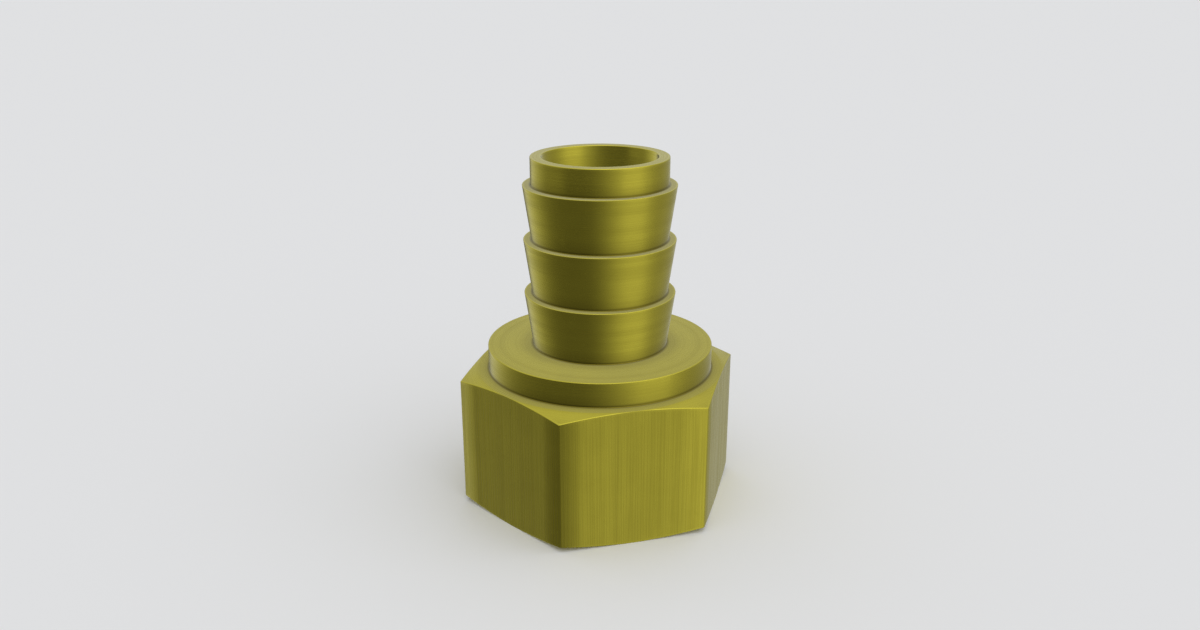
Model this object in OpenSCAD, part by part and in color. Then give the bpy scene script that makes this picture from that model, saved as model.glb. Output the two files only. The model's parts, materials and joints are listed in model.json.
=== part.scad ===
// Hose thread adapter, turned from one piece of hexagon brass bar.
// The hexagon screws onto a pipe's outside thread, and a flexible hose is pushed over the barbed tail.
// It stands on the open end of the hexagon, with the tail pointing up along +Z.
// The origin is the centre of that end face, two corners of the hexagon lie along X, and sizes are in millimetres.

/* [Hexagon] */
// Width across the flats
hex_af = 33; // [31:0.5:38]
// Height between the two end faces
hex_h = 18.25; // [16:0.25:24]
// Slope of the chamfer that takes the corners off at both ends, measured from the end face
hex_chamfer_deg = 15; // [10:1:30]
// How far the circle where each chamfer starts lies inside the flats
hex_chamfer_inset = 0.05; // [0.05:0.05:1]

/* [Collar] */
// Diameter of the round collar that the end of the hose stops against
collar_d = 30; // [24:0.5:31]
// Height of the collar above the hexagon
collar_h = 3.25; // [1:0.25:8]

/* [Hose tail] */
// Outside diameter of the plain tip and of the foot of each barb
tail_d = 17.9; // [16.5:0.1:19]
// Outside diameter of the sharp edge of each barb
barb_d = 20; // [19.2:0.1:23]
// Length of one barb along the tail, from its foot to its edge
barb_pitch = 7.15; // [4:0.05:12]
// Number of barbs
barb_count = 3; // [1:1:6]
// Length of the plain tip beyond the last barb
tip_len = 3.6; // [1:0.1:10]
// Diameter of the bore that the water runs through
flow_bore_d = 15; // [10:0.5:16]

/* [Threaded socket] */
// Diameter of the pipe thread, at the bottom of the socket's grooves
thread_major_d = 26.44; // [24:0.01:28]
// Depth of the thread's grooves
thread_depth = 1.16; // [0.8:0.01:1.5]
// Depth of the socket, from the open end to the flat seat of its washer
socket_depth = 15; // [8:0.5:18]
// How far the mouth is wider than the thread, all round
mouth_room = 0.28; // [0.05:0.01:1]

/* [Hidden] */

// Facets of every round surface
$fn = 96;
// Sides of the bar that the body is turned from
bar_sides = 6;
// How far a cutting shape runs past what it cuts, and how far a joined shape sinks into its neighbour
overrun = 1;
// Olive-yellow of plain brass
brass = [0.60, 0.56, 0.22];

// Radius of the hexagon's corners
hex_corner_r = hex_af / 2 / cos(180 / bar_sides);
// Radius of the circle where each chamfer starts
chamfer_r = hex_af / 2 - hex_chamfer_inset;
// Radius and height that the chamfer's cone reaches, a little outside the corners
cone_r = hex_corner_r + overrun;
cone_h = (cone_r - chamfer_r) * tan(hex_chamfer_deg);

// Height of the collar's upper face, where the first barb begins
collar_top = hex_h + collar_h;
// Height of the last barb's edge, and of the whole body
last_edge = collar_top + barb_count * barb_pitch;
body_h = last_edge + tip_len;

// Radius of the socket's wall, which is the crest of the thread, and of its mouth
thread_minor_r = thread_major_d / 2 - thread_depth;
mouth_r = thread_major_d / 2 + mouth_room;

// A disc with the end chamfers of the hexagon, wider than its corners
module chamfer_disc() {
    rotate_extrude()
        polygon([
            [0, 0],
            [chamfer_r, 0],
            [cone_r, cone_h],
            [cone_r, hex_h - cone_h],
            [chamfer_r, hex_h],
            [0, hex_h]
        ]);
}

// The length of hexagon bar that a spanner holds, with its corners turned off at both ends
module hexagon() {
    intersection() {
        cylinder(h = hex_h, r = hex_corner_r, $fn = bar_sides);
        chamfer_disc();
    }
}

// The round collar between the hexagon and the tail
module collar() {
    translate([0, 0, hex_h - overrun])
        cylinder(h = collar_h + overrun, d = collar_d);
}

// The tail: each barb widens from its foot up to a sharp edge, and steps straight back in above it
module hose_tail() {
    barbs = [
        for (i = [0 : barb_count - 1])
            each [
                [tail_d / 2, collar_top + i * barb_pitch],
                [barb_d / 2, collar_top + (i + 1) * barb_pitch]
            ]
    ];
    rotate_extrude()
        polygon(concat(
            [[0, collar_top - overrun], [tail_d / 2, collar_top - overrun]],
            barbs,
            [[tail_d / 2, last_edge], [tail_d / 2, body_h], [0, body_h]]
        ));
}

// The space inside the hexagon: a wall at the thread's crest, a 45 degree mouth and a flat washer seat
module threaded_socket() {
    rotate_extrude()
        polygon([
            [0, -overrun],
            [mouth_r + overrun, -overrun],
            [thread_minor_r, mouth_r - thread_minor_r],
            [thread_minor_r, socket_depth],
            [0, socket_depth]
        ]);
}

// The bore that runs from the washer seat to the tip of the tail
module flow_bore() {
    translate([0, 0, socket_depth - overrun])
        cylinder(h = body_h - socket_depth + 2 * overrun, d = flow_bore_d);
}

// The whole adapter, one piece of brass
module adapter_body() {
    color(brass)
        difference() {
            union() {
                hexagon();
                collar();
                hose_tail();
            }
            threaded_socket();
            flow_bore();
        }
}

adapter_body();
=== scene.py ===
"""Looks of the hose thread adapter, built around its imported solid.

The adapter is one piece of brass, turned from hexagon bar. Its surface is one closed grid: the angle round
the axis is one parameter, and the way along the section of the wall is the other. The grid adds what the
solid leaves out: the thread in the socket, the broken edges and the round corners of the bar.
Lengths are in metres, and the fine ones of a finish are in millimetres.
"""

import json
import logging
import math
from dataclasses import dataclass
from enum import Enum
from typing import Any

import bpy
import numpy as np
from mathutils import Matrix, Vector


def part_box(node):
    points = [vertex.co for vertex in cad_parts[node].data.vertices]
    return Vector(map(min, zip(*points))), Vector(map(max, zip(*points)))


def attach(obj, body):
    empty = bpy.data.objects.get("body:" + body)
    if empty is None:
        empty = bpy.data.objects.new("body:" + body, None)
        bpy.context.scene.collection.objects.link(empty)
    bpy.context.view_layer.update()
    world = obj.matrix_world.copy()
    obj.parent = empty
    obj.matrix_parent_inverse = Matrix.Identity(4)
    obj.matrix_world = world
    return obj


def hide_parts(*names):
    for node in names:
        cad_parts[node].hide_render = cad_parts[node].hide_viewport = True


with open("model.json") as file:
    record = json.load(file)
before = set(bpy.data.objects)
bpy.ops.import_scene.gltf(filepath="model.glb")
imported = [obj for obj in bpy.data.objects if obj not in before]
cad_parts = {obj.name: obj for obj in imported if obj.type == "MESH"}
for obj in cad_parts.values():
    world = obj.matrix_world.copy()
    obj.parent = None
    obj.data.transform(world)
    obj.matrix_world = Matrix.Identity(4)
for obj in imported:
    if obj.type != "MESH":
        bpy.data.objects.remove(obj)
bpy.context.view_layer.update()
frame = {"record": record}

MM = 0.001
BODY = "root"
NODE = "adapter_body"
UV_NAME = "surface_mm"
# Mesh attribute of rubbed wear above 0 and of painted shade below 0.
WEAR_AND_SHADE_ATTRIBUTE = "edge_kind"
CORNER_ATTRIBUTE = "corner_distance_mm"
FLOAT, VECTOR = "NodeSocketFloat", "NodeSocketVector"
HEXAGON_SIDES = 6
SECTOR = 2.0 * math.pi / HEXAGON_SIDES
HALF_SECTOR = SECTOR / 2.0

Socket = bpy.types.NodeSocket
Value = Socket | float
Colour = tuple[float, float, float]

log = logging.getLogger("hose_adapter")


class Cut(Enum):
    """How a stretch of the surface was made, with its place in the list of materials."""

    TURNED = 0
    DRAWN = 1
    TAPPED = 2


class Bend(Enum):
    """What a bend of the section is to the finish: rubbed bright, plain, or painted shade in a corner."""

    EDGE = 1.0
    PLAIN = 0.0
    RECESS = -1.0


def opaque(colour: Colour) -> tuple[float, float, float, float]:
    """A colour as a shader's socket takes it."""
    return (*colour, 1.0)


class Board:
    """Adds nodes to one shader tree and joins their sockets."""

    def __init__(self, tree: bpy.types.NodeTree) -> None:
        """Starts on an empty tree."""
        self.tree = tree
        tree.nodes.clear()

    def node(
        self, kind: str, inputs: dict[str | int, Any] | None = None, **settings: Any
    ) -> bpy.types.Node:
        """Adds one node.

        Args:
            kind: Blender's name of the node.
            inputs: A number, colour or socket for each input, by name or place.
            settings: The node's own settings.

        Returns:
            The node.
        """
        made = self.tree.nodes.new(kind)
        for name, value in settings.items():
            setattr(made, name, value)
        for key, value in (inputs or {}).items():
            if isinstance(value, Socket):
                self.tree.links.new(value, made.inputs[key])
            else:
                made.inputs[key].default_value = value
        return made

    def math(self, operation: str, a: Value, b: Value = 0.0) -> Socket:
        """One sum of one or two values, such as MAXIMUM or SQRT."""
        return self.node("ShaderNodeMath", {0: a, 1: b}, operation=operation).outputs[0]

    def add(self, total: Value, *values: Value) -> Socket:
        """Adds up two or more values.

        Args:
            total: The first value.
            values: The others.

        Returns:
            Their sum.
        """
        for value in values:
            total = self.math("ADD", total, value)
        return total

    def subtract(self, a: Value, b: Value) -> Socket:
        """The first value less the second."""
        return self.math("SUBTRACT", a, b)

    def multiply(self, a: Value, b: Value) -> Socket:
        """The product of two values."""
        return self.math("MULTIPLY", a, b)

    def swing(self, mask: Socket, amount: float) -> Socket:
        """A change of half the amount either way, as the mask goes from 0 to 1."""
        return self.multiply(self.subtract(mask, 0.5), amount)

    def ease(self, value: Value, start: float, end: float) -> Socket:
        """A smooth step of a value.

        Args:
            value: The value.
            start: Where the step is 0.
            end: Where the step is 1. It may be lower than the start.

        Returns:
            The step, from 0 to 1.
        """
        inputs = {"Value": value, "From Min": start, "From Max": end}
        made = self.node("ShaderNodeMapRange", inputs, interpolation_type="SMOOTHSTEP")
        return made.outputs["Result"]

    def blend(self, factor: Value, a: Any, b: Any) -> Socket:
        """A mix of two colours."""
        return self.node("ShaderNodeMix", {0: factor, 6: a, 7: b}, data_type="RGBA").outputs[2]

    def attribute(self, name: str) -> Socket:
        """The value of one of the mesh's attributes."""
        return self.node("ShaderNodeAttribute", attribute_name=name).outputs["Fac"]


class Group(Board):
    """A shader node group that several materials share."""

    def __init__(self, name: str, inputs: dict[str, str], outputs: tuple[str, ...]) -> None:
        """Makes the group and its sockets.

        Args:
            name: Name of the group.
            inputs: Kind of each input, by name.
            outputs: Names of the outputs, each of which is a value.
        """
        super().__init__(bpy.data.node_groups.new(name, "ShaderNodeTree"))
        for label, kind in inputs.items():
            self.tree.interface.new_socket(label, in_out="INPUT", socket_type=kind)
        for label in outputs:
            self.tree.interface.new_socket(label, in_out="OUTPUT", socket_type=FLOAT)
        self.given = self.node("NodeGroupInput").outputs
        self.results = self.node("NodeGroupOutput").inputs

    def give(self, label: str, value: Socket) -> None:
        """Joins a value to one of the group's outputs."""
        self.tree.links.new(value, self.results[label])


@dataclass(frozen=True)
class ToolLines:
    """Fine parallel lines that a cutting tool or a drawing die leaves.

    Args:
        band_scale: Number of broad bands to each line.
        hair_scale: Number of hairlines to each line.
        band_range: Where in the noise a band begins and is full.
        hair_range: Where in the noise a hairline begins and is full.
    """

    band_scale: float = 0.31
    hair_scale: float = 4.0
    band_range: tuple[float, float] = (0.3, 0.7)
    hair_range: tuple[float, float] = (0.34, 0.66)

    def build(self) -> bpy.types.NodeTree:
        """Makes the group.

        Each kind of line is flat noise, read at the place across the lines over their width and at the place
        along them times the drift. Both places are in millimetres.

        Returns:
            A group that gives the height of the lines, broad bands of them, and hairlines, from 0 to 1.
        """
        group = Group(
            "tool_lines",
            {"Across": FLOAT, "Along": FLOAT, "Width": FLOAT, "Drift": FLOAT},
            ("Height", "Bands", "Hairlines"),
        )
        across = group.math("DIVIDE", group.given["Across"], group.given["Width"])
        along = group.multiply(group.given["Along"], group.given["Drift"])
        place = group.node("ShaderNodeCombineXYZ", {"X": across, "Y": along}).outputs[0]

        def lines(scale: float) -> Socket:
            """Noise of so many lines to the width."""
            inputs = {"Vector": place, "Scale": scale, "Detail": 1.0, "Roughness": 0.5}
            return group.node("ShaderNodeTexNoise", inputs, noise_dimensions="2D").outputs["Fac"]

        group.give("Height", lines(1.0))
        group.give("Bands", group.ease(lines(self.band_scale), *self.band_range))
        group.give("Hairlines", group.ease(lines(self.hair_scale), *self.hair_range))
        return group.tree


@dataclass(frozen=True)
class HandlingMarks:
    """Faint clouds and small rubbed spots on metal that has been handled.

    Args:
        spot_scale: Number of spots to each cloud, along a line.
        cloud_range: Where in the noise a cloud begins and is full.
        spot_range: Where in the noise a spot begins and is full.
    """

    spot_scale: float = 5.0
    cloud_range: tuple[float, float] = (0.3, 0.7)
    spot_range: tuple[float, float] = (0.58, 0.75)

    def build(self) -> bpy.types.NodeTree:
        """Makes the group.

        Returns:
            A group that turns a place in metres, and a number of clouds to the metre, into masks of clouds
            and of spots.
        """
        group = Group("handling_marks", {"Place": VECTOR, "Scale": FLOAT}, ("Clouds", "Spots"))
        place, scale = group.given["Place"], group.given["Scale"]
        clouds = {"Vector": place, "Scale": scale, "Detail": 4.0, "Roughness": 0.6}
        finer = group.multiply(scale, self.spot_scale)
        spots = {"Vector": place, "Scale": finer, "Detail": 2.0, "Distortion": 0.4}
        cloud_noise = group.node("ShaderNodeTexNoise", clouds).outputs["Fac"]
        spot_noise = group.node("ShaderNodeTexNoise", spots).outputs["Fac"]
        group.give("Clouds", group.ease(cloud_noise, *self.cloud_range))
        group.give("Spots", group.ease(spot_noise, *self.spot_range))
        return group.tree


@dataclass(frozen=True)
class SurfaceMarks:
    """What a finish reads at each point of the surface, as sockets.

    Args:
        lines: Height of the tool lines, from 0 to 1.
        bands: Broad bands of lines, from 0 to 1.
        hairs: Hairlines, from 0 to 1.
        clouds: Clouds of handling marks, from 0 to 1.
        spots: Rubbed spots, from 0 to 1.
        kind: 1 on a rubbed edge, 0 on a plain face and -1 in painted shade.
    """

    lines: Socket
    bands: Socket
    hairs: Socket
    clouds: Socket
    spots: Socket
    kind: Socket


@dataclass(frozen=True)
class BrassFinish:
    """Olive-yellow brass as one tool leaves it.

    Args:
        name: Name of the material.
        cut: How the surface was made.
        colour: Colour of the clean metal, linear.
        dull: Colour of the metal where it has toned down.
        painted_shade: Colour of painted shade: inside corners, the depth of the bore and socket, thread
            roots.
        edge_tint: Tint of what the metal reflects almost edge on.
        streak_share: How much of the toning lies in streaks along the lines, and not in clouds.
        hairline_tone: How much the toning differs from one hairline to the next.
        cloud_scale: Number of clouds of handling marks to the metre.
        roughness: Roughness of plain metal.
        band_roughness: How much it differs from one band of lines to the next.
        hairline_roughness: How much it differs from one hairline to the next.
        spot_roughness: What a rubbed spot adds to it.
        polish: What a rubbed edge takes off it, and painted shade adds.
        line_width: Width of the tool's broadest lines.
        line_height: Height of the lines.
        line_drift: How fast a line changes along its length, as a share of how fast it does across.
        hairline_height: Height of the hairlines.
        anisotropy: How far the lines stretch a reflection across them.
        stretch_turn: Direction of that stretch, as the share of a full turn from the way round the axis.
        roll: Height that a flat falls off by at the bar's corners.
        roll_width: Width of that fall.
    """

    name: str
    cut: Cut
    colour: Colour = (0.54, 0.475, 0.052)
    dull: Colour = (0.46, 0.402, 0.043)
    painted_shade: Colour = (0.20, 0.165, 0.020)
    edge_tint: Colour = (0.98, 0.98, 0.89)
    streak_share: float = 0.6
    hairline_tone: float = 0.5
    cloud_scale: float = 200.0
    roughness: float = 0.27
    band_roughness: float = 0.06
    hairline_roughness: float = 0.1
    spot_roughness: float = 0.04
    polish: float = 0.06
    line_width: float = 0.5
    line_height: float = 0.008
    line_drift: float = 0.0
    hairline_height: float = 0.0025
    anisotropy: float = 0.3
    stretch_turn: float = 0.25
    roll: float = 0.0
    roll_width: float = 3.0

    def marks(
        self, board: Board, lines: bpy.types.NodeTree, handling: bpy.types.NodeTree
    ) -> SurfaceMarks:
        """Places the two groups with this finish's values.

        Turned and tapped lines follow the first way of the surface's map, and drawn lines the second.

        Args:
            board: The board on the material's nodes.
            lines: The group of tool lines.
            handling: The group of handling marks.

        Returns:
            What the finish reads.
        """
        uv = board.node("ShaderNodeUVMap", uv_map=UV_NAME).outputs[0]
        around, along_section, _ = board.node("ShaderNodeSeparateXYZ", {0: uv}).outputs
        across, along = along_section, around
        if self.cut is Cut.DRAWN:
            across, along = around, along_section
        inputs = {"Across": across, "Along": along, "Width": self.line_width, "Drift": self.line_drift}
        tool = board.node("ShaderNodeGroup", inputs, node_tree=lines).outputs
        place = board.node("ShaderNodeTexCoord").outputs["Object"]
        inputs = {"Place": place, "Scale": self.cloud_scale}
        hand = board.node("ShaderNodeGroup", inputs, node_tree=handling).outputs
        return SurfaceMarks(
            lines=tool["Height"],
            bands=tool["Bands"],
            hairs=tool["Hairlines"],
            clouds=hand["Clouds"],
            spots=hand["Spots"],
            kind=board.attribute(WEAR_AND_SHADE_ATTRIBUTE),
        )

    def tone(self, board: Board, marks: SurfaceMarks) -> Socket:
        """The metal's colour, toned down in streaks, clouds and hairlines.

        A rubbed edge takes the toning away, and painted shade puts its own dark colour over it.

        Args:
            board: The board on the material's nodes.
            marks: What the finish reads.

        Returns:
            The colour.
        """
        streaks = board.multiply(marks.bands, self.streak_share)
        clouds = board.multiply(marks.clouds, 1.0 - self.streak_share)
        toned = board.add(streaks, clouds, board.swing(marks.hairs, self.hairline_tone))
        unrubbed = board.subtract(1.0, board.math("MAXIMUM", marks.kind, 0.0))
        colour = board.blend(board.multiply(toned, unrubbed), opaque(self.colour), opaque(self.dull))
        # Painted shade: a kind below 0 blends in the dark colour of painted shade.
        painted_shade_share = board.math("MAXIMUM", board.multiply(marks.kind, -1.0), 0.0)
        return board.blend(painted_shade_share, colour, opaque(self.painted_shade))

    def grain(self, board: Board, marks: SurfaceMarks) -> Socket:
        """The metal's roughness, uneven by bands, hairlines and rubbed spots.

        A rubbed edge has less of it, and a place with painted shade more.

        Args:
            board: The board on the material's nodes.
            marks: What the finish reads.

        Returns:
            The roughness.
        """
        rough = board.add(
            self.roughness,
            board.swing(marks.bands, self.band_roughness),
            board.multiply(marks.spots, self.spot_roughness),
            board.swing(marks.hairs, self.hairline_roughness),
        )
        return board.subtract(rough, board.multiply(marks.kind, self.polish))

    def relief(self, board: Board, marks: SurfaceMarks) -> Socket:
        """The normal, bent by the height of the lines and hairlines, less the fall at a bar's corner.

        The fall is the roll times the square of 1 less the distance from the corner over the roll's width.

        Args:
            board: The board on the material's nodes.
            marks: What the finish reads.

        Returns:
            The normal.
        """
        lines = board.multiply(marks.lines, self.line_height)
        height = board.add(lines, board.multiply(marks.hairs, self.hairline_height))
        if self.roll > 0.0:
            share = board.math("DIVIDE", board.attribute(CORNER_ATTRIBUTE), self.roll_width)
            left = board.math("MAXIMUM", board.subtract(1.0, share), 0.0)
            height = board.subtract(height, board.multiply(board.math("POWER", left, 2.0), self.roll))
        return board.node("ShaderNodeBump", {"Height": height, "Distance": MM, "Strength": 1.0}).outputs[0]

    def material(self, lines: bpy.types.NodeTree, handling: bpy.types.NodeTree) -> bpy.types.Material:
        """Builds the finish.

        Args:
            lines: The group of tool lines.
            handling: The group of handling marks.

        Returns:
            The material.
        """
        made = bpy.data.materials.new(self.name)
        made.use_nodes = True
        board = Board(made.node_tree)
        marks = self.marks(board, lines, handling)
        around = board.node("ShaderNodeTangent", direction_type="RADIAL", axis="Z")
        shader = board.node(
            "ShaderNodeBsdfPrincipled",
            {
                "Base Color": self.tone(board, marks),
                "Metallic": 1.0,
                "Roughness": self.grain(board, marks),
                "Specular Tint": opaque(self.edge_tint),
                "Anisotropic": self.anisotropy,
                "Anisotropic Rotation": self.stretch_turn,
                "Tangent": around.outputs[0],
                "Normal": self.relief(board, marks),
            },
        )
        board.node("ShaderNodeOutputMaterial", {"Surface": shader.outputs[0]})
        return made


@dataclass(frozen=True)
class PipeThread:
    """A parallel pipe thread with round crests and roots.

    Args:
        pitch: Distance from one groove to the next along the axis.
        depth: Depth of the grooves.
        flank_angle: Angle of each side of a groove from the plane across the axis, in degrees.
        round_share: Radius of crests and roots as a share of the pitch.
        run_out: Length over which the grooves grow shallow at the inner end.
        plain_end: Length without grooves next to the washer seat.
    """

    pitch: float = 1.814 * MM
    depth: float = 1.16 * MM
    flank_angle: float = 27.5
    round_share: float = 0.1373
    run_out: float = 2.4 * MM
    plain_end: float = 0.8 * MM

    def groove(self, along: np.ndarray, angle: np.ndarray) -> np.ndarray:
        """How far the wall lies outside the crest of a right-hand thread.

        How far a point lies away from the middle of the nearest groove is its height minus the pitch times
        its share of the turn, wrapped to half a pitch. The root is an arc round 0, the crest is an arc round
        half a pitch, and the flank between them is straight, so that the three meet at the flank angle.

        Args:
            along: Height of each point.
            angle: Angle of each point round the axis.

        Returns:
            The depth of the groove at each point, between 0 and the full depth.
        """
        turn = along / self.pitch - angle / (2.0 * math.pi)
        away = np.abs(turn - np.round(turn)) * self.pitch
        half = self.pitch / 2.0
        radius = self.round_share * self.pitch
        flank = math.radians(self.flank_angle)
        reach = radius * math.cos(flank)
        root = self.depth - radius + np.sqrt(np.clip(radius**2 - away**2, 0.0, None))
        crest = radius - np.sqrt(np.clip(radius**2 - (half - away) ** 2, 0.0, None))
        straight = self.depth - radius * (1.0 - math.sin(flank)) - (away - reach) / math.tan(flank)
        shape = np.where(away < reach, root, np.where(half - away < reach, crest, straight))
        return np.clip(shape, 0.0, self.depth)


@dataclass(frozen=True)
class HexagonBar:
    """The bar that the adapter is turned from. Its corners lie at 0, 60, 120 ... degrees and are round.

    Args:
        across_flats: Width across its flats.
        corner: Radius of its corners.
    """

    across_flats: float
    corner: float

    @property
    def apothem(self) -> float:
        """Distance from the axis to the middle of a flat."""
        return self.across_flats / 2.0

    @property
    def flat_width(self) -> float:
        """Width of a flat, up to where two flats would meet."""
        return 2.0 * self.apothem * math.tan(HALF_SECTOR)

    @property
    def corner_centre(self) -> float:
        """Distance from the axis to the centre of a corner's circle."""
        return (self.apothem - self.corner) / math.cos(HALF_SECTOR)

    @property
    def corner_half_angle(self) -> float:
        """Half the angle that a round corner takes, seen from the axis.

        Returns:
            The angle in radians.
        """
        sideways = self.corner * math.sin(HALF_SECTOR)
        outwards = self.corner * math.cos(HALF_SECTOR)
        return math.atan2(sideways, self.corner_centre + outwards)

    def side(self, angle: np.ndarray) -> np.ndarray:
        """Distance from the axis to the bar's side.

        On a flat it is half the width over the cosine of the angle from the flat's middle. At a corner it is
        where the ray meets the corner's circle, whose centre lies on the corner's own ray.

        Args:
            angle: Angles round the axis.

        Returns:
            The distance at each angle.
        """
        from_corner = np.abs((angle + HALF_SECTOR) % SECTOR - HALF_SECTOR)
        flat = self.apothem / np.cos(HALF_SECTOR - from_corner)
        reach = np.clip(self.corner**2 - (self.corner_centre * np.sin(from_corner)) ** 2, 0.0, None)
        arc = self.corner_centre * np.cos(from_corner) + np.sqrt(reach)
        return np.where(from_corner < self.corner_half_angle, arc, flat)

    def place_on_flat(self, angle: np.ndarray) -> tuple[np.ndarray, np.ndarray]:
        """Where each angle lies across its flat.

        The place is half the width times the tangent of the angle from the middle of the flat.

        Args:
            angle: Angles round the axis.

        Returns:
            The place from the middle of the flat, and the number of the flat.
        """
        number = np.floor(angle / SECTOR)
        return self.apothem * np.tan(angle - (number + 0.5) * SECTOR), number


@dataclass(frozen=True)
class AdapterSizes:
    """Sizes of the adapter: what the frame states, and the rest as the solid has it.

    Args:
        across_flats: Width of the hexagon.
        height: Height of the whole adapter.
        bore_radius: Radius of the bore through the tail.
        socket_radius: Radius of the socket's wall, which is the crest of its thread.
        socket_mouth: Height where the socket's straight wall begins.
        seat_height: Height of the washer seat.
        tail_radius: Radius of the tip and of each barb's foot.
        tip_length: Length of the plain tip.
        hexagon_height: Height of the hexagon.
        chamfer_angle: Slope of its end chamfers, in degrees.
        chamfer_inset: How far the chamfer circle lies inside the flats.
        collar_radius: Radius of the collar.
        collar_height: Height of the collar above the hexagon.
        barb_radius: Radius of each barb's edge.
        barb_count: Number of barbs.
    """

    across_flats: float
    height: float
    bore_radius: float
    socket_radius: float
    socket_mouth: float
    seat_height: float
    tail_radius: float
    tip_length: float
    hexagon_height: float = 18.25 * MM
    chamfer_angle: float = 15.0
    chamfer_inset: float = 0.05 * MM
    collar_radius: float = 15.0 * MM
    collar_height: float = 3.25 * MM
    barb_radius: float = 10.0 * MM
    barb_count: int = 3

    @classmethod
    def from_frame(cls, record: dict[str, Any], low: Vector, high: Vector) -> "AdapterSizes":
        """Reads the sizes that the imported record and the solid's box give.

        Args:
            record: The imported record, with its mounts.
            low: Lowest corner of the adapter's node.
            high: Highest corner of the adapter's node.

        Returns:
            The sizes in metres.
        """
        mounts = {mount["name"]: mount for mount in record["mounts"]}
        seat = mounts["washer_seat"]["pos_m"][2]
        socket = mounts["threaded_socket"]["dims"]
        tip = mounts["hose_tail_tip"]["dims"]
        return cls(
            across_flats=high.y - low.y,
            height=high.z - low.z,
            bore_radius=mounts["flow_bore"]["dims"]["r_mm"] * MM,
            socket_radius=socket["r_mm"] * MM,
            socket_mouth=seat - socket["length_mm"] * MM,
            seat_height=seat,
            tail_radius=tip["r_mm"] * MM,
            tip_length=tip["length_mm"] * MM,
        )

    @property
    def mouth_radius(self) -> float:
        """Radius of the socket's mouth, whose 45 degree cone is as wide as it is deep."""
        return self.socket_radius + self.socket_mouth

    @property
    def wall_middle(self) -> float:
        """Radius of the middle of the tail's wall, which parts the bore from the outside."""
        return (self.bore_radius + self.tail_radius) / 2.0

    @property
    def chamfer_radius(self) -> float:
        """Radius of the circle where each chamfer of the hexagon starts."""
        return self.across_flats / 2.0 - self.chamfer_inset

    @property
    def collar_top(self) -> float:
        """Height of the collar's upper face."""
        return self.hexagon_height + self.collar_height

    @property
    def ledges(self) -> np.ndarray:
        """Heights of the ledges that the tail rises from: the collar's and then each barb's."""
        pitch = (self.height - self.tip_length - self.collar_top) / self.barb_count
        return self.collar_top + np.arange(self.barb_count + 1) * pitch


@dataclass(frozen=True)
class EdgeBreaks:
    """Radii of the broken edges, and how the grid is spaced about them.

    Args:
        bar_corner: Radius of the hexagon's upright corners.
        hexagon: Radius where a flat meets a chamfer.
        turned: Radius of the collar's and the tip's edges.
        barb: Radius of a barb's sharp edge.
        inside: Radius that the tool's nose leaves in an inside corner.
        steps: Number of faces round each broken edge.
        near: Distance from an edge to the closest row beside it.
        far: Distance from an edge to the next row, where the edge no longer shows in the finish.
        side_share: Share of a short side that an edge's arc may take.
        near_share: Share of a short side that the near distance may take.
        far_share: Share of a short side that the far distance may take.
    """

    bar_corner: float = 0.2 * MM
    hexagon: float = 0.12 * MM
    turned: float = 0.1 * MM
    barb: float = 0.06 * MM
    inside: float = 0.1 * MM
    steps: int = 4
    near: float = 0.03 * MM
    far: float = 0.3 * MM
    side_share: float = 0.3
    near_share: float = 0.08
    far_share: float = 0.15


@dataclass(frozen=True)
class SectionCorner:
    """A corner of the section, before it is rounded.

    Args:
        radius: Distance from the axis, the same all round or for each column.
        height: Height, in the same way.
        rounding: Radius wanted at the corner.
        bend: What the corner is to the finish.
        cut: How the side that ends at the corner was made.
    """

    radius: float | np.ndarray
    height: float | np.ndarray
    rounding: float = 0.0
    bend: Bend = Bend.PLAIN
    cut: Cut = Cut.TURNED


@dataclass(frozen=True)
class Section:
    """Rows of points along the wall's section, for every column of the grid.

    Args:
        radius: Distance from the axis, one row per step along the section, one column per angle.
        height: Height of the same points.
        kind: What each point is to the finish: 1 on a rubbed edge, 0 on a plain face, -1 in painted shade.
        cuts: How the faces between each row and the next were made.
    """

    radius: np.ndarray
    height: np.ndarray
    kind: np.ndarray
    cuts: np.ndarray


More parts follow.
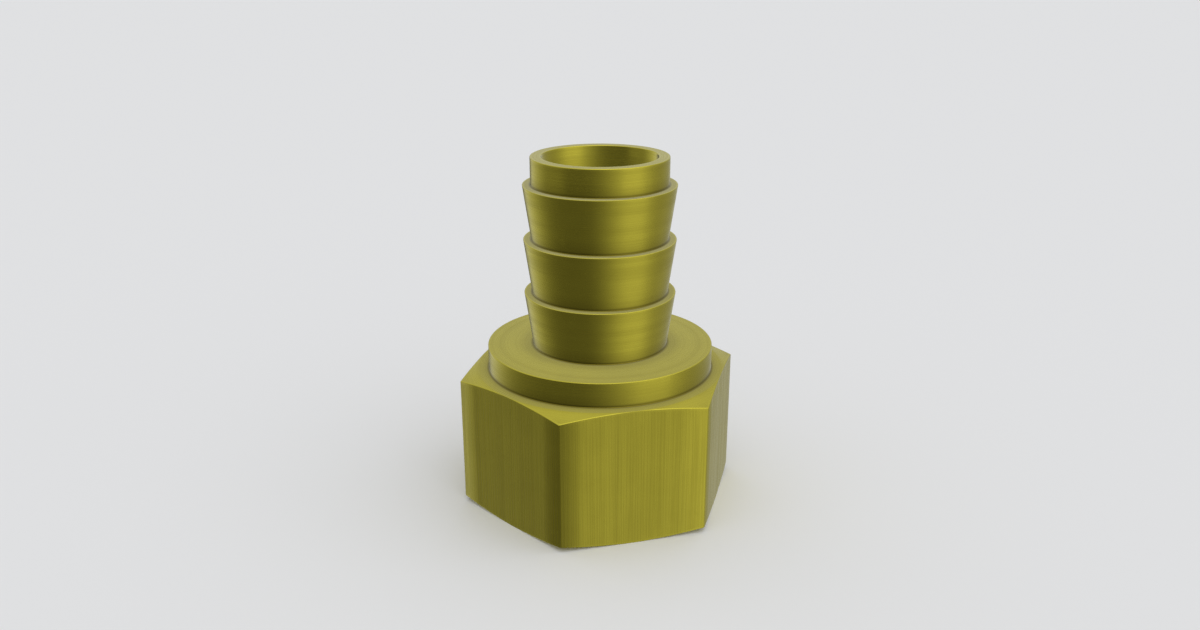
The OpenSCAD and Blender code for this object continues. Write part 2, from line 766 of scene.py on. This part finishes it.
def rounded_path(
    corners: np.ndarray, radii: np.ndarray, breaks: EdgeBreaks
) -> tuple[np.ndarray, np.ndarray]:
    """Rounds the inner corners of a bent line, for many lines at once.

    At each corner the arc's centre lies on the bisector of its two sides, at the radius over the sine of
    half the angle between them. The arc runs from one tangent point to the other as a blend of the two
    directions from that centre, weighted by the sines of the angles still to go. A near and a far point
    stand on each side.

    Args:
        corners: Points of the lines, of shape (lines, corners, 2).
        radii: Radius wanted at each corner but the first and last. A short side makes it smaller.
        breaks: Distances of the near and far points, and the number of faces in each arc.

    Returns:
        The points, of shape (lines, corners - 2, points per corner, 2), and how much each point of a corner
        is away from it, from 0 on the arc to 1 at the far points.
    """
    here = corners[:, 1:-1]
    back = corners[:, :-2] - here
    ahead = corners[:, 2:] - here
    back_length = np.linalg.norm(back, axis=2, keepdims=True)
    ahead_length = np.linalg.norm(ahead, axis=2, keepdims=True)
    back = back / back_length
    ahead = ahead / ahead_length
    opening = np.arccos(np.clip(np.sum(back * ahead, axis=2, keepdims=True), -1.0, 1.0))
    shorter = np.minimum(back_length, ahead_length)
    tangent = np.minimum(radii[None, :, None] / np.tan(opening / 2.0), breaks.side_share * shorter)
    radius = tangent * np.tan(opening / 2.0)
    bisector = back + ahead
    bisector = bisector / np.linalg.norm(bisector, axis=2, keepdims=True)
    centre = here + bisector * radius / np.sin(opening / 2.0)
    first = (here + back * tangent - centre) / radius
    last = (here + ahead * tangent - centre) / radius
    sweep = math.pi - opening
    share = np.linspace(0.0, 1.0, breaks.steps + 1)
    to_go = np.sin(sweep[:, :, None] * (1.0 - share)[None, None, :, None])
    gone = np.sin(sweep[:, :, None] * share[None, None, :, None])
    blend = to_go * first[:, :, None] + gone * last[:, :, None]
    arc = centre[:, :, None] + radius[:, :, None] * blend / np.sin(sweep)[:, :, None]

    def beside(direction: np.ndarray, length: np.ndarray) -> tuple[np.ndarray, np.ndarray]:
        """The points beside each corner on one of its sides.

        Args:
            direction: Direction of the side from the corner.
            length: Length of the side.

        Returns:
            The near and the far point.
        """
        near = tangent + np.minimum(breaks.near, breaks.near_share * length)
        far = tangent + np.minimum(breaks.far, breaks.far_share * length)
        return here + direction * near, here + direction * far

    back_near, back_far = beside(back, back_length)
    ahead_near, ahead_far = beside(ahead, ahead_length)
    before = np.stack([back_far, back_near], axis=2)
    after = np.stack([ahead_near, ahead_far], axis=2)
    away = np.concatenate([[1.0, 0.0], np.zeros(breaks.steps + 1), [0.0, 1.0]])
    return np.concatenate([before, arc, after], axis=2), away


@dataclass(frozen=True)
class WearAndShade:
    """Where use has rubbed the brass bright, and where shade is painted into it. Each amount is from 0 to 1.

    Args:
        crest: How bright the crests of the thread are.
        root: How dark the roots of the thread are with painted shade.
        bore: How dark the bore is in its depth, with painted shade.
        socket: How dark the socket is in its depth, with painted shade.
        shade_depth: Depth from an open end at which that painted shade is full.
        foot: How dark the outside is with painted shade at the foot of a wall that rises from a ledge.
        foot_shade_reach: Distance over which that painted shade fades.
        ledge_room: Height below a ledge that still counts as the ledge.
    """

    crest: float = 0.4
    root: float = 0.6
    bore: float = 0.95
    socket: float = 0.7
    shade_depth: float = 10.0 * MM
    foot: float = 0.48
    foot_shade_reach: float = 1.8 * MM
    ledge_room: float = 0.03 * MM

    def on_thread(self, groove: np.ndarray) -> np.ndarray:
        """The thread's finish by the groove's share of the full depth: rubbed crests, roots in painted shade.
        """
        return self.crest - (self.crest + self.root) * groove

    def inside(self, sizes: AdapterSizes, radius: np.ndarray, height: np.ndarray) -> np.ndarray:
        """How much painted shade each point takes for lying inside the bore or the socket.

        It is the bore's or the socket's painted shade times the square of the distance from the open end
        over the shade depth, up to 1. The bore's points lie above the seat and inside the middle of the
        tail's wall, and the socket's lie up to the seat and inside the mouth.

        Args:
            sizes: Sizes of the adapter.
            radius: Distances of the grid's points from the axis.
            height: Heights of the grid's points.

        Returns:
            The painted shade at each point, which is 0 on the outside.
        """
        # Painted shade: darker the deeper a point lies in the bore or the socket.
        from_tip = np.clip((sizes.height - height) / self.shade_depth, 0.0, 1.0) ** 2
        from_mouth = np.clip(height / self.shade_depth, 0.0, 1.0) ** 2
        in_bore = (radius < sizes.wall_middle) & (height > sizes.seat_height)
        in_socket = (radius <= sizes.mouth_radius) & (height <= sizes.seat_height)
        socket = np.where(in_socket, self.socket * from_mouth, 0.0)
        return np.where(in_bore, self.bore * from_tip, socket)

    def painted_shade_at_feet(self, sizes: AdapterSizes, radius: np.ndarray, height: np.ndarray) -> np.ndarray:
        """How much painted shade each point takes for lying close to the foot of a wall.

        It is the foot's painted shade times 1 less the distance from the nearest foot over the reach, and
        not below 0. The feet are the collar's and that of each stretch of the tail. Each one reaches along
        its ledge and up the wall above it, and not below the ledge or into the bore.

        Args:
            sizes: Sizes of the adapter.
            radius: Distances of the grid's points from the axis.
            height: Heights of the grid's points.

        Returns:
            The painted shade at each point.
        """
        # Painted shade: darker close to each inside corner of the outside, fading over the reach.
        foot_radius = np.append(np.full(len(sizes.ledges), sizes.tail_radius), sizes.collar_radius)
        across = radius[:, :, None] - foot_radius
        upward = height[:, :, None] - np.append(sizes.ledges, sizes.hexagon_height)
        share = np.clip(1.0 - np.hypot(across, upward) / self.foot_shade_reach, 0.0, 1.0)
        reached = (upward > -self.ledge_room) & (radius[:, :, None] > sizes.wall_middle)
        return self.foot * np.where(reached, share, 0.0).max(axis=2)


@dataclass
class AdapterBody:
    """The adapter's surface: hexagon, collar, barbed tail, bore and threaded socket.

    Args:
        sizes: Sizes of the adapter.
        breaks: Radii of its edges.
        thread: The thread in its socket.
        wear_and_shade: How use has changed its metal, and where shade is painted into it.
        finishes: Its finishes, in the order of the members of Cut.
        half_flat_columns: Columns of the grid on each half of a flat.
        thread_rows: Rows of the grid for each turn of the thread.
        longest_face: Length of the longest face along the section.
    """

    sizes: AdapterSizes
    breaks: EdgeBreaks = EdgeBreaks()
    thread: PipeThread = PipeThread()
    wear_and_shade: WearAndShade = WearAndShade()
    finishes: tuple[BrassFinish, ...] = (
        BrassFinish("brass_turned", Cut.TURNED),
        BrassFinish(
            "brass_drawn",
            Cut.DRAWN,
            line_width=0.6,
            line_height=0.004,
            line_drift=0.015,
            stretch_turn=0.0,
            roll=0.4,
        ),
        BrassFinish("brass_tapped", Cut.TAPPED),
    )
    half_flat_columns: int = 17
    thread_rows: int = 16
    longest_face: float = 2.0 * MM

    @property
    def bar(self) -> HexagonBar:
        """The bar that the adapter is turned from."""
        return HexagonBar(self.sizes.across_flats, self.breaks.bar_corner)

    def angles(self) -> np.ndarray:
        """Angles of the grid's columns, close together at the six corners of the hexagon.

        Returns:
            The angles in radians, from just before the first corner, without the closing column.
        """
        half = self.bar.corner_half_angle
        near = half + self.breaks.near / self.bar.apothem
        far = half + self.breaks.far / self.bar.apothem
        arc = np.linspace(-half, half, 2 * self.breaks.steps - 1)
        flat = np.linspace(far, HALF_SECTOR, self.half_flat_columns + 1)
        offsets = np.concatenate([-flat[:-1][::-1], [-near], arc, [near], flat])
        corners = np.arange(HEXAGON_SIDES) * SECTOR
        return (corners[:, None] + offsets[None, :]).ravel()

    def outline(self, side: np.ndarray) -> list[SectionCorner]:
        """Corners of the section from the socket's mouth round the outside and the bore to the washer seat.

        Args:
            side: Distance from the axis to the bar's side, for each column.

        Returns:
            The corners in order, of which the first and the last stay sharp.
        """
        sizes, breaks = self.sizes, self.breaks
        drop = (side - sizes.chamfer_radius) * math.tan(math.radians(sizes.chamfer_angle))
        corners = [
            SectionCorner(sizes.mouth_radius, 0.0),
            SectionCorner(sizes.chamfer_radius, 0.0, breaks.hexagon),
            SectionCorner(side, drop, breaks.hexagon, Bend.EDGE),
            SectionCorner(side, sizes.hexagon_height - drop, breaks.hexagon, Bend.EDGE, Cut.DRAWN),
            SectionCorner(sizes.chamfer_radius, sizes.hexagon_height, breaks.hexagon),
            # Each inside corner is a RECESS bend, which takes a thin line of painted shade.
            SectionCorner(sizes.collar_radius, sizes.hexagon_height, breaks.inside, Bend.RECESS),
            SectionCorner(sizes.collar_radius, sizes.collar_top, breaks.turned, Bend.EDGE),
            SectionCorner(sizes.tail_radius, sizes.collar_top, breaks.inside, Bend.RECESS),
        ]
        for ledge in sizes.ledges[1:]:
            corners.append(SectionCorner(sizes.barb_radius, ledge, breaks.barb, Bend.EDGE))
            corners.append(SectionCorner(sizes.tail_radius, ledge, breaks.inside, Bend.RECESS))
        corners += [
            SectionCorner(sizes.tail_radius, sizes.height, breaks.turned, Bend.EDGE),
            SectionCorner(sizes.bore_radius, sizes.height, breaks.turned, Bend.EDGE),
            SectionCorner(sizes.bore_radius, sizes.seat_height, breaks.turned, Bend.EDGE),
            SectionCorner(sizes.socket_radius, sizes.seat_height),
        ]
        return corners

    def outer_rows(self, side: np.ndarray) -> Section:
        """The section from the mouth round the outside and the bore to the seat, with rounded corners.

        The faces of a rounded corner are made as the side before it up to its middle, and as the side after
        it from there.

        Args:
            side: Distance from the axis to the bar's side, for each column.

        Returns:
            The rows, from the mouth's edge to the row just before the socket's wall.
        """
        corners = self.outline(side)
        across = [np.broadcast_to(corner.radius, side.shape) for corner in corners]
        upward = [np.broadcast_to(corner.height, side.shape) for corner in corners]
        line = np.stack([np.stack(across, axis=1), np.stack(upward, axis=1)], axis=2)
        roundings = np.array([corner.rounding for corner in corners[1:-1]])
        bends = np.array([corner.bend.value for corner in corners[1:-1]])
        cuts = np.array([corner.cut.value for corner in corners[1:]])

        rounded, away = rounded_path(line, roundings, self.breaks)
        columns, count, steps, _ = rounded.shape
        path = rounded.reshape(columns, count * steps, 2)
        near = np.array([self.breaks.near, 0.0])
        path = np.concatenate([line[:, :1], line[:, :1] + near, path, line[:, -1:] - near], axis=1)

        # An inside corner's arc gets -1 here: a thin line of painted shade, gone at its far rows.
        kind = np.concatenate([[0.0, 0.0], np.outer(bends, 1.0 - away).ravel(), [0.0]])
        kind = np.repeat(kind[:, None], columns, axis=1)
        halves = np.tile([steps // 2, steps - steps // 2], count)
        made = np.repeat(np.stack([cuts[:-1], cuts[1:]], axis=1).ravel(), halves)
        made = np.concatenate([cuts[[0, 0]], made, cuts[-1:]])
        return self.filled(Section(path[:, :, 0].T, path[:, :, 1].T, kind, made))

    def filled(self, rows: Section) -> Section:
        """Adds rows where two lie further apart than the longest face, in a straight line between them.

        Args:
            rows: The rows so far.

        Returns:
            The rows with the added ones.
        """
        gap = np.hypot(np.diff(rows.radius, axis=0), np.diff(rows.height, axis=0)).max(axis=1)
        pieces = np.maximum(1, np.ceil(gap / self.longest_face)).astype(int)
        start = np.repeat(np.arange(len(pieces)), pieces)
        order = np.arange(len(start)) - np.repeat(np.cumsum(pieces) - pieces, pieces)
        share = np.append(order / pieces[start], 0.0)[:, None]
        start = np.append(start, len(pieces))
        following = np.minimum(start + 1, len(pieces))

        def between(values: np.ndarray) -> np.ndarray:
            """Each new row as a mean of its two neighbours, weighted by where it lies between them."""
            return values[start] * (1.0 - share) + values[following] * share

        return Section(between(rows.radius), between(rows.height), between(rows.kind), rows.cuts[start])

    def socket_rows(self, angle: np.ndarray) -> Section:
        """The socket's wall from the washer seat down to the mouth.

        The radius is the crest of the thread plus the groove, less what the run-out takes off it near the
        seat, and it is never inside the 45 degree cone of the mouth.

        Args:
            angle: Angles of the columns.

        Returns:
            The rows, from the seat to the row just before the mouth's edge.
        """
        sizes, thread = self.sizes, self.thread
        count = round(sizes.seat_height / thread.pitch * self.thread_rows)
        level = np.linspace(sizes.seat_height, 0.0, count + 1)[:-1]
        level = np.concatenate([level[:1], level[:1] - self.breaks.near, level[1:], [self.breaks.near]])
        height = np.broadcast_to(level[:, None], (len(level), len(angle)))
        full_from = sizes.seat_height - thread.plain_end - thread.run_out
        lost = thread.depth * np.clip((height - full_from) / thread.run_out, 0.0, 1.0)
        groove = np.clip(thread.groove(height, angle[None, :]) - lost, 0.0, None)
        radius = np.maximum(sizes.socket_radius + groove, sizes.mouth_radius - height)
        cuts = np.full(len(level), Cut.TAPPED.value)
        # The thread's roots take painted shade, and its crests are rubbed bright.
        return Section(radius, height, self.wear_and_shade.on_thread(groove / thread.depth), cuts)

    def build(self) -> bpy.types.Object:
        """Makes the adapter as one closed mesh, with its map and attributes.

        Returns:
            The object, at the origin.
        """
        angle = self.angles()
        parts = [self.outer_rows(self.bar.side(angle)), self.socket_rows(angle)]
        radius = np.concatenate([part.radius for part in parts])
        height = np.clip(np.concatenate([part.height for part in parts]), 0.0, self.sizes.height)
        kind = np.concatenate([part.kind for part in parts])
        # Painted shade lowers the kind deep in the bore and socket, and at the feet of the walls.
        kind = kind - self.wear_and_shade.inside(self.sizes, radius, height)
        kind = np.clip(kind - self.wear_and_shade.painted_shade_at_feet(self.sizes, radius, height), -1.0, 1.0)
        cuts = np.concatenate([part.cuts for part in parts])
        mesh = closed_grid(NODE + "_surface", angle, radius, height)
        mesh.polygons.foreach_set("material_index", np.repeat(cuts, len(angle)).astype(np.int32))
        self.add_map(mesh, angle, radius, height)
        self.add_attributes(mesh, angle, kind)
        body = bpy.data.objects.new("adapter_brass", mesh)
        bpy.context.scene.collection.objects.link(body)
        return body

    def add_map(
        self, mesh: bpy.types.Mesh, angle: np.ndarray, radius: np.ndarray, height: np.ndarray
    ) -> None:
        """Adds a map of the surface in millimetres.

        U runs round the hexagon, flat after flat. V is the point's radius and height, each times its share of
        the direction of the section there, so on a turned face it grows along the section and is the same
        all round.

        Args:
            mesh: The mesh, whose faces come row by row.
            angle: Angles of the columns.
            radius: Distances of the grid's points from the axis.
            height: Heights of the grid's points.
        """
        place, number = self.bar.place_on_flat(angle)
        around = place + number * self.bar.flat_width
        around_next = np.append(around[1:], around[0] + HEXAGON_SIDES * self.bar.flat_width)
        radius_up, height_up = np.roll(radius, -1, axis=0), np.roll(height, -1, axis=0)
        step_r, step_z = (radius_up - radius).mean(axis=1), (height_up - height).mean(axis=1)
        length = np.hypot(step_r, step_z)
        way_r, way_z = (step_r / length)[:, None], (step_z / length)[:, None]
        low = radius * way_r + height * way_z
        high = radius_up * way_r + height_up * way_z
        sides = (around, around_next, around_next, around)
        u = np.stack([np.broadcast_to(side, radius.shape) for side in sides], axis=2)
        v = np.stack([low, np.roll(low, -1, axis=1), np.roll(high, -1, axis=1), high], axis=2)
        uv = np.stack([u, v], axis=3) / MM
        layer = mesh.uv_layers.new(name=UV_NAME)
        layer.uv.foreach_set("vector", uv.astype(np.float32).ravel())

    def add_attributes(self, mesh: bpy.types.Mesh, angle: np.ndarray, kind: np.ndarray) -> None:
        """Adds what the finishes need to know of each point.

        Args:
            mesh: The mesh, whose points come row by row.
            angle: Angles of the columns.
            kind: What each of the grid's points is to the finish.
        """
        place, _ = self.bar.place_on_flat(angle)
        distance = np.clip(self.bar.flat_width / 2.0 - np.abs(place), 0.0, None) / MM
        distances = np.broadcast_to(distance, kind.shape)
        for name, values in ((WEAR_AND_SHADE_ATTRIBUTE, kind), (CORNER_ATTRIBUTE, distances)):
            attribute = mesh.attributes.new(name, "FLOAT", "POINT")
            attribute.data.foreach_set("value", values.astype(np.float32).ravel())

    def dress(self, body: bpy.types.Object) -> None:
        """Gives the adapter its finishes, and keeps it out of its own reflections.

        Args:
            body: The adapter's object.
        """
        lines, handling = ToolLines().build(), HandlingMarks().build()
        for finish in self.finishes:
            body.data.materials.append(finish.material(lines, handling))
        body.visible_glossy = False


def closed_grid(
    name: str, angle: np.ndarray, radius: np.ndarray, height: np.ndarray
) -> bpy.types.Mesh:
    """A closed ring of a surface: every row joins its neighbour, and so do the last row and the first.

    Each point is the radius times the cosine and the sine of its column's angle, at its height.

    Args:
        name: Name of the mesh.
        angle: Angles of the columns.
        radius: Distances from the axis, of shape (rows, columns).
        height: Heights, of the same shape.

    Returns:
        The mesh, with faces that point outwards and smooth shading.
    """
    rows, columns = radius.shape
    points = np.stack([radius * np.cos(angle), radius * np.sin(angle), height], axis=2)
    index = np.arange(rows * columns).reshape(rows, columns)
    right = np.roll(index, -1, axis=1)
    faces = np.stack([index, right, np.roll(right, -1, axis=0), np.roll(index, -1, axis=0)], axis=2)
    count = rows * columns
    mesh = bpy.data.meshes.new(name)
    mesh.vertices.add(count)
    mesh.vertices.foreach_set("co", points.astype(np.float32).ravel())
    mesh.loops.add(4 * count)
    mesh.loops.foreach_set("vertex_index", faces.astype(np.int32).ravel())
    mesh.polygons.add(count)
    mesh.polygons.foreach_set("loop_start", np.arange(0, 4 * count, 4, dtype=np.int32))
    mesh.polygons.foreach_set("use_smooth", np.ones(count, dtype=bool))
    mesh.update(calc_edges=True)
    mesh.validate()
    return mesh


def direction_to(azimuth: float, elevation: float) -> Vector:
    """The unit vector towards a direction.

    Args:
        azimuth: Angle round the axis from +X, in degrees.
        elevation: Angle above the horizon, in degrees.

    Returns:
        The vector.
    """
    turn, rise = math.radians(azimuth), math.radians(elevation)
    level = math.cos(rise)
    return Vector((math.cos(turn) * level, math.sin(turn) * level, math.sin(rise)))


@dataclass(frozen=True)
class Heading:
    """The direction in which a ray meets the studio's walls, as sockets.

    Args:
        x: Its share along X.
        y: Its share along Y.
        z: Its upward share.
        level: Length of its level part.
    """

    x: Socket
    y: Socket
    z: Socket
    level: Socket

    @classmethod
    def of_ray(cls, board: Board, least: float = 1e-4) -> "Heading":
        """Reads the direction. The level part is the root of the sum of the squares of x and y.

        Args:
            board: The board on the world's nodes.
            least: Least length of the level part, by which others are divided.

        Returns:
            The direction.
        """
        direction = board.node("ShaderNodeTexCoord").outputs["Generated"]
        x, y, z = board.node("ShaderNodeSeparateXYZ", {0: direction}).outputs
        squares = board.add(board.multiply(x, x), board.multiply(y, y))
        return cls(x, y, z, board.math("MAXIMUM", board.math("SQRT", squares), least))


@dataclass(frozen=True)
class WallTone:
    """A tone of the walls above or below some height, which the metal reflects and the camera doesn't see.

    Args:
        colour: Its colour, linear.
        start: Height where it begins, as the upward share of a direction.
        full: Height where it is full, in the same way.
    """

    colour: Colour
    start: float
    full: float

    def cover(self, board: Board, heading: Heading) -> Socket:
        """How much of the wall the tone covers, eased from its start to where it is full."""
        return board.ease(heading.z, self.start, self.full)


@dataclass(frozen=True)
class ReflectionCard:
    """A soft grey card far off, which the metal reflects and the camera doesn't see.

    Args:
        azimuth: Direction of its middle, in degrees from +X.
        inner: Half the angle over which it is full, in degrees.
        outer: Half the angle at which it has faded out, in degrees.
        grey: Brightness of the card.
        top: Height of its upper edge, as the upward share of a direction.
        bottom: Height of its lower edge, in the same way. The value is below -1 on a card without one.
        fade: Distance inside each of those edges over which it grows full.
    """

    azimuth: float
    inner: float
    outer: float
    grey: float
    top: float = 0.3
    bottom: float = -1.5
    fade: float = 0.3

    @property
    def colour(self) -> Colour:
        """Its colour, linear."""
        return (self.grey, self.grey, self.grey)

    def cover(self, board: Board, heading: Heading) -> Socket:
        """How much of the wall the card covers, from 0 to 1.

        Sideways it is eased by the cosine of the angle from the card's middle, which is the share of the
        heading towards the card over the heading's level part.

        Args:
            board: The board on the world's nodes.
            heading: The direction of the wall.

        Returns:
            The share in that direction.
        """
        middle = direction_to(self.azimuth, 0.0)
        towards = board.add(board.multiply(heading.x, middle.x), board.multiply(heading.y, middle.y))
        cosine = board.math("DIVIDE", towards, heading.level)
        start, full = math.cos(math.radians(self.outer)), math.cos(math.radians(self.inner))
        below_top = board.ease(heading.z, self.top, self.top - self.fade)
        above_bottom = board.ease(heading.z, self.bottom, self.bottom + self.fade)
        return board.multiply(board.ease(cosine, start, full), board.multiply(below_top, above_bottom))


@dataclass
class Studio:
    """The pale floor and walls, and the soft light.

    Args:
        background: Colour of the walls, and of the lit floor where it meets them, linear.
        ceiling: Tone of the upper walls.
        overhead: Tone of the soft light overhead.
        underfoot: Tone straight below, where the adapter's own shadow falls.
        cards: Grey cards in front of the walls.
        floor_colour: Colour of the floor's own surface.
        floor_size: Half the width of the floor.
        floor_gap: How far the floor lies below the adapter's lowest face.
        lamp_strength: Strength of the soft lamp.
        lamp_angle: How wide the lamp looks, in degrees.
        lamp_azimuth: Direction that the lamp stands in, in degrees from +X.
        lamp_elevation: Height of the lamp above the horizon, in degrees.
    """

    background: Colour = (0.745, 0.753, 0.760)
    ceiling: WallTone = WallTone(colour=(0.665, 0.672, 0.679), start=0.0, full=0.3)
    overhead: WallTone = WallTone(colour=(0.78, 0.788, 0.796), start=0.45, full=0.75)
    underfoot: WallTone = WallTone(colour=(0.25, 0.25, 0.25), start=-0.75, full=-0.98)
    cards: tuple[ReflectionCard, ...] = (
        ReflectionCard(azimuth=-150.0, inner=12.0, outer=100.0, grey=0.14),
        ReflectionCard(azimuth=20.0, inner=10.0, outer=55.0, grey=0.42),
        ReflectionCard(azimuth=84.0, inner=6.0, outer=24.0, grey=0.12, top=0.1, fade=0.2),
        ReflectionCard(azimuth=178.0, inner=4.0, outer=24.0, grey=0.32, top=0.1, bottom=-0.32, fade=0.12),
        ReflectionCard(azimuth=-50.0, inner=4.0, outer=24.0, grey=0.88, top=0.1, bottom=-0.32, fade=0.12),
        ReflectionCard(azimuth=-12.0, inner=8.0, outer=24.0, grey=0.36, top=-0.27, bottom=-0.44, fade=0.07),
    )
    floor_colour: Colour = (0.808, 0.808, 0.814)
    floor_size: float = 6.0
    floor_gap: float = 0.01 * MM
    lamp_strength: float = 0.72
    lamp_angle: float = 85.0
    lamp_azimuth: float = -60.0
    lamp_elevation: float = 55.0

    def build(self) -> None:
        """Makes the world, the lamp and the floor."""
        self.make_world()
        self.make_lamp()
        self.make_floor()

    def make_world(self) -> None:
        """The walls: one pale colour to the camera, and with tones and cards on them to every other ray."""
        world = bpy.data.worlds.new("studio_walls")
        bpy.context.scene.world = world
        world.use_nodes = True
        board = Board(world.node_tree)
        heading = Heading.of_ray(board)
        camera = board.node("ShaderNodeLightPath").outputs["Is Camera Ray"]
        unseen = board.subtract(1.0, camera)
        shade = opaque(self.background)
        for part in (self.ceiling, self.overhead, self.underfoot, *self.cards):
            cover = board.multiply(part.cover(board, heading), unseen)
            shade = board.blend(cover, shade, opaque(part.colour))
        back = board.node("ShaderNodeBackground", {"Color": shade, "Strength": 1.0})
        board.node("ShaderNodeOutputWorld", {"Surface": back.outputs[0]})

    def make_lamp(self) -> None:
        """One wide, soft lamp, which gives the same light all over the floor."""
        data = bpy.data.lights.new("soft_lamp", "SUN")
        data.energy = self.lamp_strength
        data.angle = math.radians(self.lamp_angle)
        lamp = bpy.data.objects.new("soft_lamp", data)
        bpy.context.scene.collection.objects.link(lamp)
        towards = direction_to(self.lamp_azimuth, self.lamp_elevation)
        lamp.rotation_mode = "QUATERNION"
        lamp.rotation_quaternion = towards.to_track_quat("Z", "Y")

    def floor_material(self) -> bpy.types.Material:
        """The floor's plain pale surface, which is clear from below.

        Returns:
            The material.
        """
        made = bpy.data.materials.new("pale_floor")
        made.use_nodes = True
        board = Board(made.node_tree)
        inputs = {"Base Color": opaque(self.floor_colour), "Roughness": 1.0, "Specular IOR Level": 0.0}
        pale = board.node("ShaderNodeBsdfPrincipled", inputs).outputs[0]
        clear = board.node("ShaderNodeBsdfTransparent").outputs[0]
        below = board.node("ShaderNodeNewGeometry").outputs["Backfacing"]
        surface = board.node("ShaderNodeMixShader", {0: below, 1: pale, 2: clear}).outputs[0]
        board.node("ShaderNodeOutputMaterial", {"Surface": surface})
        return made

    def make_floor(self) -> None:
        """A wide floor under the adapter, which takes its shadow and casts none."""
        half, low = self.floor_size, -self.floor_gap
        mesh = bpy.data.meshes.new("floor")
        corners = [(-half, -half, low), (half, -half, low), (half, half, low), (-half, half, low)]
        mesh.from_pydata(corners, [], [(0, 1, 2, 3)])
        mesh.materials.append(self.floor_material())
        floor = bpy.data.objects.new("floor", mesh)
        bpy.context.scene.collection.objects.link(floor)
        floor.visible_glossy = False
        floor.visible_shadow = False


@dataclass(frozen=True)
class PhotoCamera:
    """The camera, where the photograph's perspective puts it.

    Args:
        azimuth: Direction from the adapter to the camera, in degrees from +X.
        elevation: Height of the camera above the horizon, in degrees.
        distance: Distance from the camera to the point that it looks at.
        target_height: Height of that point on the axis.
        focal_pixels: Focal length in pixels of the photograph.
        frame_pixels: Width of the photograph in pixels.
        sensor: Width of the sensor in millimetres.
        nearest: Distance from which the camera sees.
        furthest: Distance up to which it sees.
    """

    azimuth: float = -105.0
    elevation: float = 19.155
    distance: float = 138.45 * MM
    target_height: float = 25.105 * MM
    focal_pixels: float = 1035.1
    frame_pixels: float = 1200.0
    sensor: float = 36.0
    nearest: float = 5.0 * MM
    furthest: float = 50.0

    def build(self) -> None:
        """Makes the camera and gives it to the scene."""
        data = bpy.data.cameras.new("photo_camera")
        data.sensor_fit = "HORIZONTAL"
        data.sensor_width = self.sensor
        data.lens = self.sensor * self.focal_pixels / self.frame_pixels
        data.clip_start = self.nearest
        data.clip_end = self.furthest
        camera = bpy.data.objects.new("photo_camera", data)
        bpy.context.scene.collection.objects.link(camera)
        away = direction_to(self.azimuth, self.elevation)
        camera.location = Vector((0.0, 0.0, self.target_height)) + away * self.distance
        camera.rotation_mode = "QUATERNION"
        camera.rotation_quaternion = away.to_track_quat("Z", "Y")
        bpy.context.scene.camera = camera


def set_colour_view() -> None:
    """Shows colours as they are written."""
    bpy.context.scene.view_settings.view_transform = "Standard"


def main() -> None:
    """Builds the camera, the studio and the adapter, in that order."""
    logging.basicConfig(level=logging.INFO, format="%(message)s")
    set_colour_view()
    camera = PhotoCamera()
    camera.build()
    log.info("camera: %.1f mm from the adapter", camera.distance / MM)
    studio = Studio()
    studio.build()
    log.info("studio: a floor, a lamp and %d cards", len(studio.cards))
    low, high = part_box(NODE)
    adapter = AdapterBody(AdapterSizes.from_frame(frame["record"], low, high))
    body = adapter.build()
    adapter.dress(body)
    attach(body, BODY)
    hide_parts(NODE)
    log.info("%s: %d points, %d faces", body.name, len(body.data.vertices), len(body.data.polygons))


if __name__ == "__main__":
    main()
